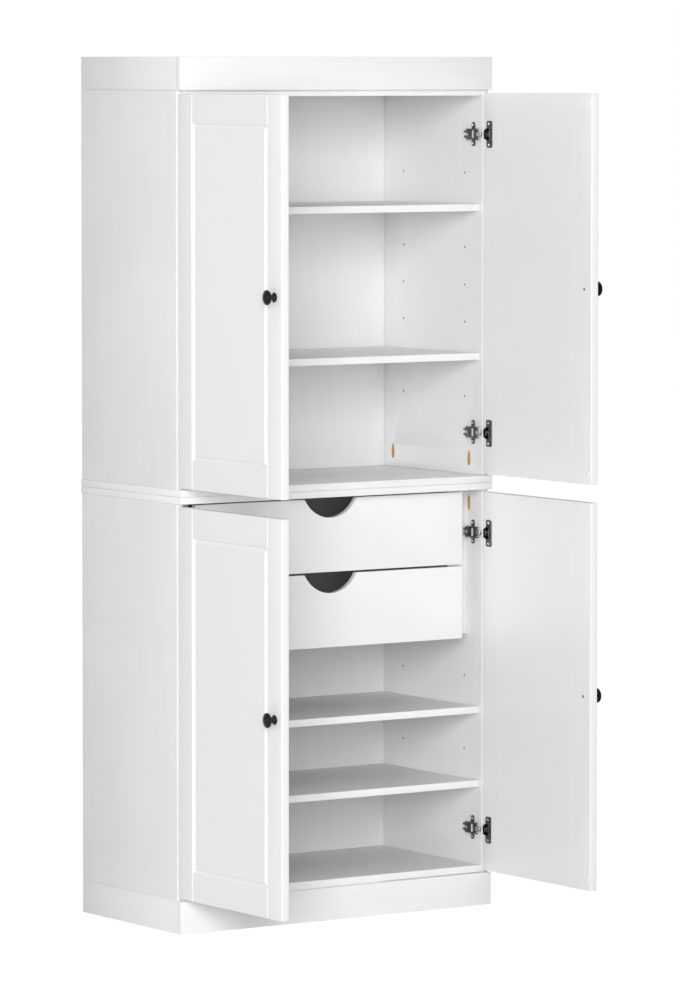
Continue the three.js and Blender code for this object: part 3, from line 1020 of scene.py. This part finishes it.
def hang_door(level, word, side):
    """Hangs one door, open at a right angle, with its knob, knob screw, hinges and bumpers."""
    node, body = f"{level}_door_{word}", f"{level}_{word}_door"
    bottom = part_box(node)[0].z
    hinge_line = Matrix.Translation((side * PIVOT[0] * MM, PIVOT[1] * MM, bottom))
    hand = Matrix.Scale(-side, 4, (1, 0, 0))
    swing = hinge_line @ Matrix.Rotation(side * math.pi / 2, 4, "Z") @ hand
    hand_over(placed(copy_of(door, f"{level}_{word}_panelled_door"), swing), body, "white_door", node)
    free = DOOR_SIZE[0] - DOOR_EDGE
    outer, inner, half = -DOOR_FACE, DOOR_SIZE[1] - DOOR_FACE, DOOR_SIZE[2] / 2
    knob_foot = swing @ on_axis(mm(free - KNOB_FROM_EDGE, outer - 0.3, half), (0, -1, 0))
    hand_over(
        placed(copy_of(knob, f"{level}_{word}_mushroom_knob"), knob_foot), body, "dark_metal", f"{node}_knob"
    )
    screw_seat = swing @ on_axis(mm(free - KNOB_FROM_EDGE, inner - 2.2, half), (0, 1, 0))
    knob_screw = coat(placed(copy_of(plate_screw, f"{level}_{word}_knob_screw"), screw_seat), smoked_nickel)
    hand_over(knob_screw, body, "nickel")
    for end, z in (("bottom", HINGE_FROM_END), ("top", DOOR_SIZE[2] - HINGE_FROM_END)):
        lift = Matrix.Translation(mm(0, 0, z))
        hand_over(
            placed(copy_of(cup, f"{level}_{word}_hinge_cup_{end}"), swing @ lift),
            body,
            "nickel",
            f"{node}_hinge_cup_{end}",
        )
        seat = Matrix.Translation((side * PANEL_FACE, PIVOT[1] * MM, bottom + z * MM)) @ hand
        hand_over(
            placed(copy_of(arm, f"{level}_{word}_hinge_arm_{end}"), seat),
            "cabinet",
            "nickel",
            f"{node}_hinge_arm_{end}",
        )
    pads = [
        placed(copy_of(bumper, "pad"), swing @ on_axis(mm(free - PAD_FROM_EDGE, inner - 0.1, z), (0, 1, 0)))
        for z in (PAD_FROM_END, DOOR_SIZE[2] - PAD_FROM_END)
    ]
    hand_over(together(f"{level}_{word}_door_bumpers", *pads), body, "white_door")


for level in LEVELS:
    for word, side in SIDES:
        hang_door(level, word, side)


# ---------------------------------------------------------------- drawers

FINGER_CHORD, FINGER_DEPTH = 134, 41
CHANNEL_WALL, CHANNEL_LIP = 1.2, 3.0
SLOT_STARTS, SLOT_LENGTH = (90, 200, 330), 16
CHANNEL_SCREWS = (78, 372)
FINGER_RADIUS = ((FINGER_CHORD / 2) ** 2 + FINGER_DEPTH**2) / (2 * FINGER_DEPTH)


def drawer_front(level):
    low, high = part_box(f"{level}_drawer_front")
    front = block(f"{level}_drawer_cutout_front", low, high)
    centre = Vector((0, (low.y + high.y) / 2, high.z + (FINGER_RADIUS - FINGER_DEPTH) * MM))
    carve(front, drum("finger cutter", FINGER_RADIUS * MM, centre, 60 * MM, "Y", 192))
    ease(front, 0.9 * MM, 3)
    hand_over(coat(front, drawer_lacquer), f"{level}_drawer", "white_board", f"{level}_drawer_front")


def drawer_box(level):
    # The walls, rear wall and floor sheet are mid-grey: painted shade for the dark inside of the drawer.
    body = f"{level}_drawer"
    for word, side in SIDES:
        low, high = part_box(f"{level}_drawer_side_{word}")
        wall = block(f"{level}_drawer_wall_{word}", low, high)
        ease(wall, 1.0 * MM, 3)
        hand_over(coat(wall, drawer_painted_shade_lining), body, "white_board", f"{level}_drawer_side_{word}")
    board(f"{level}_drawer_rear_wall", f"{level}_drawer_back", body, face=drawer_painted_shade_lining, edge=1.0 * MM)
    board(
        f"{level}_drawer_floor_sheet",
        f"{level}_drawer_bottom",
        body,
        slot="backing",
        face=drawer_painted_shade_floor,
        edge=0.3 * MM,
    )


def fixed_channel(level, word, side):
    """The lipped channel on the packing board, with its slots, two screws and the front roller."""
    node = f"{level}_drawer_slide_{word}"
    low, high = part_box(node)
    channel = block(f"{level}_drawer_channel_{word}", low, high)
    inward, outward = (low.x, high.x) if side > 0 else (high.x, low.x)
    wall = CHANNEL_WALL * MM * side
    skin, lip = CHANNEL_WALL * MM, CHANNEL_LIP * MM

    def span(a, b, y0, y1, z0, z1):
        return (min(a, b), y0, z0), (max(a, b), y1, z1)

    front, back = low.y - MM, high.y + MM
    hollow = span(inward + wall, outward - wall, front, back, low.z + skin, high.z - skin)
    mouth = span(inward - wall, inward + 2 * wall, front, back, low.z + lip, high.z - lip)
    carve(channel, block("hollow", *hollow))
    carve(channel, block("mouth", *mouth))
    for y in SLOT_STARTS:
        y0, y1 = y * MM, (y + SLOT_LENGTH) * MM
        slot = block(
            "slot", *span(outward - 3 * wall, outward + wall, y0, y1, low.z + 6.5 * MM, low.z + 11.5 * MM)
        )
        carve(channel, round_corners(slot, "X", 2.3 * MM))
    ease(channel, 0.25 * MM, 2, 60)
    coat(channel, runner_paint)
    height = (low.z + high.z) / 2
    wheel = drum(
        "roller",
        5.4 * MM,
        ((inward + outward) / 2 + wall / 4, low.y + 7 * MM, low.z + 6.8 * MM),
        6.4 * MM,
        "X",
        40,
    )
    ease(wheel, 0.7 * MM, 3)
    screws = []
    for y in CHANNEL_SCREWS:
        seat = on_axis((outward - wall * 0.9, y * MM, height), (-side, 0, 0))
        screws.append(placed(copy_of(plate_screw, "screw"), seat))
    piece = together(f"{level}_drawer_channel_{word}", channel, coat(wheel, clear_pad), *screws)
    hand_over(piece, "cabinet", "slide_steel", node)


def moving_runner(level, word, side):
    """The angle under a drawer's side, with the rib, wheel and axle that ride in the channel."""
    wall_low, wall_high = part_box(f"{level}_drawer_side_{word}")
    face = wall_high.x if side > 0 else -wall_low.x
    y0, y1 = wall_low.y + 2 * MM, wall_high.y - 2 * MM
    base = wall_low.z

    def strip(near, far, z0, z1):
        xs = sorted((side * near, side * far))
        return block("strip", (xs[0], y0, z0), (xs[1], y1, z1))

    leaf = strip(face + 0.2 * MM, face + 1.3 * MM, base - 1.0 * MM, base + 16 * MM)
    under = strip(face - 10 * MM, face + 1.3 * MM, base - 1.3 * MM, base - 0.2 * MM)
    rib = strip(face + 0.4 * MM, face + 7.6 * MM, base + 12.6 * MM, base + 13.7 * MM)
    profile = weld(leaf, under, rib)
    ease(profile, 0.25 * MM, 2, 60)
    wheel_x = side * (face + 5.9 * MM)
    wheel = drum("roller", 4.6 * MM, (wheel_x, wall_high.y - 25 * MM, base + 7.6 * MM), 4.6 * MM, "X", 40)
    ease(wheel, 0.6 * MM, 3)
    axle = drum(
        "axle", 1.4 * MM, (side * (face + 3.4 * MM), wall_high.y - 25 * MM, base + 7.6 * MM), 5 * MM, "X", 20
    )
    piece = together(
        f"{level}_drawer_runner_{word}",
        coat(profile, runner_paint),
        coat(wheel, clear_pad),
        coat(axle, bright_nickel),
    )
    hand_over(piece, f"{level}_drawer", "slide_steel")


for level in LEVELS:
    drawer_front(level)
    drawer_box(level)
    for word, side in SIDES:
        fixed_channel(level, word, side)
        moving_runner(level, word, side)

for model in (door, knob, cup, arm, bumper, plate_screw):
    bpy.data.objects.remove(model)
